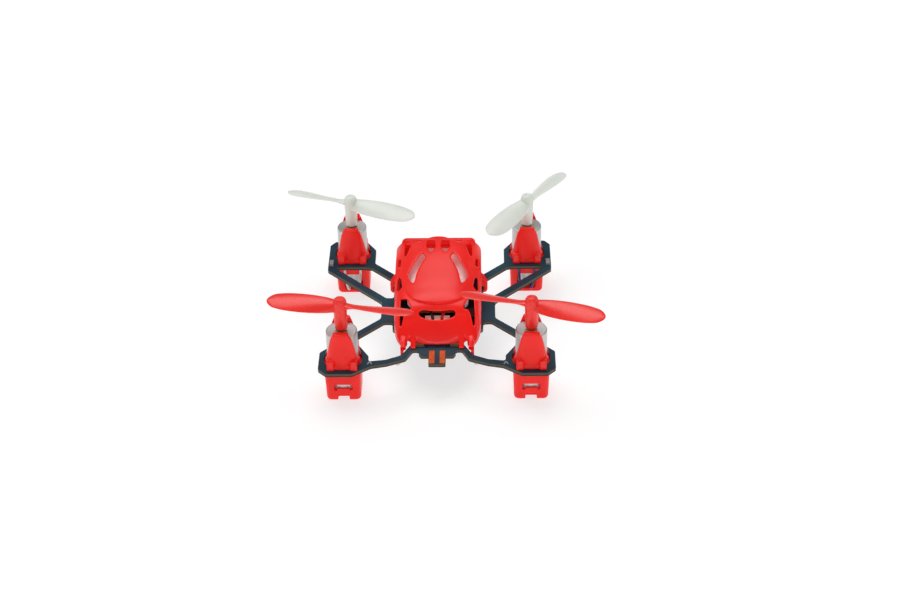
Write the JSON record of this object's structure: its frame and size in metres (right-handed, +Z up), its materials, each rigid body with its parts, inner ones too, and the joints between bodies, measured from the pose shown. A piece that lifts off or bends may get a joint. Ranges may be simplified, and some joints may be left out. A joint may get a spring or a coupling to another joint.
{
  "type": "mini palm drone",
  "caption": "Palm-sized quadcopter on an X-shaped circuit-board frame, with clip-in coreless motors, two-blade propellers and a clip-on canopy over a pouch battery.",
  "frame": {"origin": "on the ground plane, at the centre of the four rotor axes", "axes": "+X towards the drone's right, -Y towards its front (the charging tab), +Z up along the rotor axes"},
  "size_m": [0.0639, 0.0539, 0.0218],
  "materials": {
    "circuit_board": "satin blue-green solder mask",
    "gold_plate": "thin gold plate",
    "red_plastic": "satin moulded plastic",
    "foil_pouch": "laminated foil",
    "amber_tape": "thin film",
    "black_foam": "open foam",
    "white_nylon": "moulded",
    "red_insulation": "wire sleeve",
    "black_insulation": "wire sleeve",
    "white_insulation": "wire sleeve",
    "blue_insulation": "wire sleeve",
    "chip_resin": "moulded resin",
    "ceramic": "fired ceramic",
    "tinned_steel": "tinned",
    "clear_lens": "clear resin",
    "black_plastic": "moulded",
    "nickel_plate": "nickel plate",
    "bronze": "sintered",
    "motor_steel": "drawn and plated",
    "enamelled_copper": "wound enamelled wire",
    "red_blade": "slightly clear moulded plastic",
    "white_blade": "milky moulded plastic"
  },
  "bodies": {
    "airframe": {"antenna_wire": "tinned_steel", "battery_cell": "foil_pouch", "battery_plug": "white_nylon", "battery_socket": "white_nylon", "battery_tape": "amber_tape", "battery_wire_black": "black_insulation", "battery_wire_red": "red_insulation", "canopy": "red_plastic", "capacitors": "ceramic", "charging_contacts": "gold_plate", "crystal": "tinned_steel", "foam_pad": "black_foam", "frame_board": "circuit_board", "front_lamps": "clear_lens", "gyro_sensor": "chip_resin", "microcontroller": "chip_resin", "motor_brushes": "bronze", "motor_bushes": "bronze", "motor_can_front_left": "motor_steel", "motor_can_front_right": "motor_steel", "motor_can_rear_left": "motor_steel", "motor_can_rear_right": "motor_steel", "motor_end_caps": "black_plastic", "motor_holder_front_left": "red_plastic", "motor_holder_front_right": "red_plastic", "motor_holder_rear_left": "red_plastic", "motor_holder_rear_right": "red_plastic", "motor_leads_front_left": "white_insulation", "motor_leads_front_right": "white_insulation", "motor_leads_rear_left": "white_insulation", "motor_leads_rear_right": "blue_insulation", "motor_magnets": "nickel_plate", "motor_transistors": "chip_resin", "protection_board": "circuit_board", "radio_chip": "chip_resin", "rear_lamps": "clear_lens", "resistors": "chip_resin", "switch_housing": "tinned_steel"},
    "rotor_front_left": {"propeller_front_left": "red_blade", "shaft_front_left": "tinned_steel", "coil_front_left": "enamelled_copper", "commutator_front_left": "bronze"},
    "rotor_front_right": {"propeller_front_right": "red_blade", "shaft_front_right": "tinned_steel", "coil_front_right": "enamelled_copper", "commutator_front_right": "bronze"},
    "rotor_rear_left": {"propeller_rear_left": "white_blade", "shaft_rear_left": "tinned_steel", "coil_rear_left": "enamelled_copper", "commutator_rear_left": "bronze"},
    "rotor_rear_right": {"propeller_rear_right": "white_blade", "shaft_rear_right": "tinned_steel", "coil_rear_right": "enamelled_copper", "commutator_rear_right": "bronze"},
    "switch_knob": {"switch_slider": "black_plastic"}
  },
  "joints": [
    {"name": "spin_front_left", "type": "hinge", "parent": "airframe", "child": "rotor_front_left", "pos_m": [-0.018, -0.0182, 0.0145], "axis": [0, 0, -1], "continuous": true},
    {"name": "spin_front_right", "type": "hinge", "parent": "airframe", "child": "rotor_front_right", "pos_m": [0.018, -0.0182, 0.0145], "axis": [0, 0, 1], "continuous": true},
    {"name": "spin_rear_left", "type": "hinge", "parent": "airframe", "child": "rotor_rear_left", "pos_m": [-0.018, 0.0182, 0.0145], "axis": [0, 0, 1], "continuous": true},
    {"name": "spin_rear_right", "type": "hinge", "parent": "airframe", "child": "rotor_rear_right", "pos_m": [0.018, 0.0182, 0.0145], "axis": [0, 0, -1], "continuous": true},
    {"name": "switch_slide", "type": "slide", "parent": "airframe", "child": "switch_knob", "axis": [1, 0, 0], "range_m": [0, 0.0015]}
  ]
}
